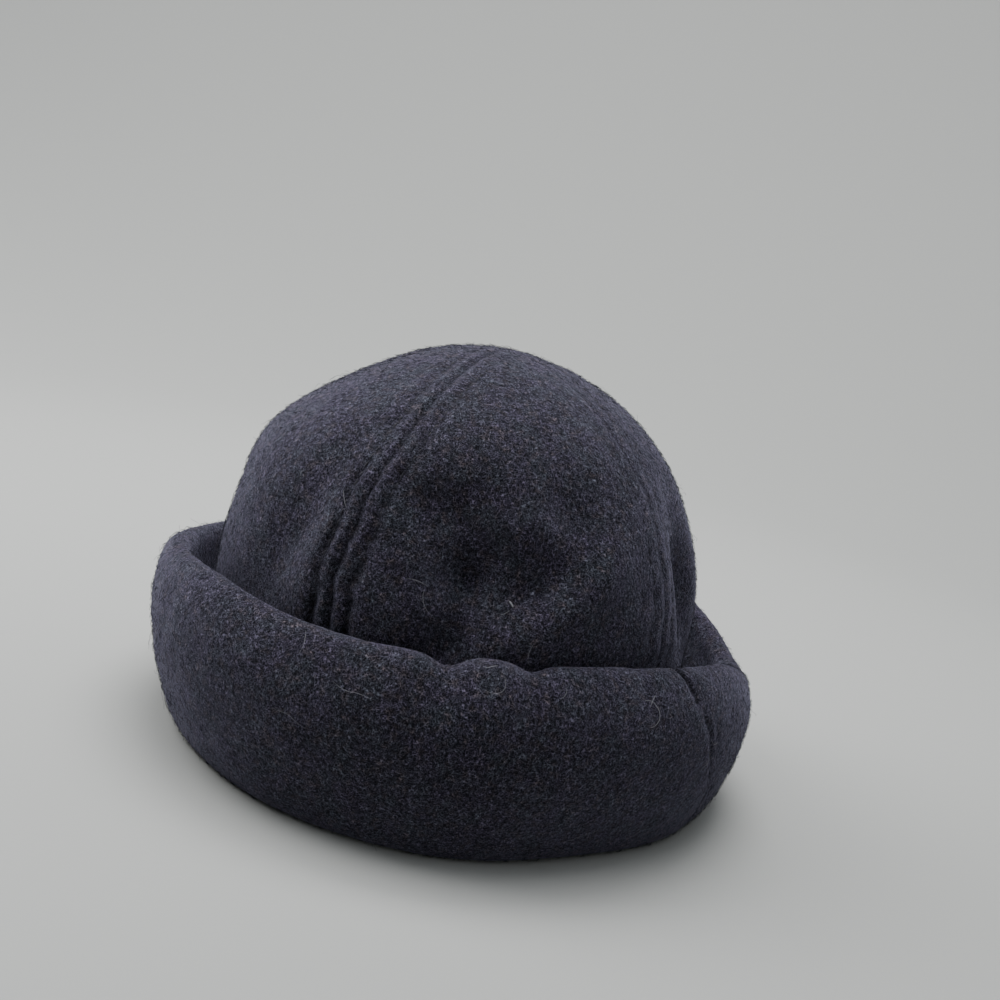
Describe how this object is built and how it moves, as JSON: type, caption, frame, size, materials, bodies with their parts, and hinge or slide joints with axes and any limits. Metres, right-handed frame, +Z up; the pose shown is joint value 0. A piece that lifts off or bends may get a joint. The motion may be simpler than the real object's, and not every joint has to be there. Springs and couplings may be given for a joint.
{
  "type": "docker beanie",
  "caption": "Domed wool hat of sewn crown panels with pressed, topstitched seams and a deep, full turned-up cuff.",
  "frame": {"origin": "centre of the hat's bounding box in plan, on the plane that the cuff rests on", "axes": "+Z up through the crown's top, -Y towards the seam at the front of the crown"},
  "size_m": [0.2386, 0.2366, 0.1645],
  "materials": {
    "wool": "felted navy wool melton with a short fuzzy nap"
  },
  "bodies": {
    "root": {"crown_panel_1": "wool", "crown_panel_2": "wool", "crown_panel_3": "wool", "crown_panel_4": "wool", "crown_panel_5": "wool", "cuff_band": "wool"}
  },
  "joints": []
}
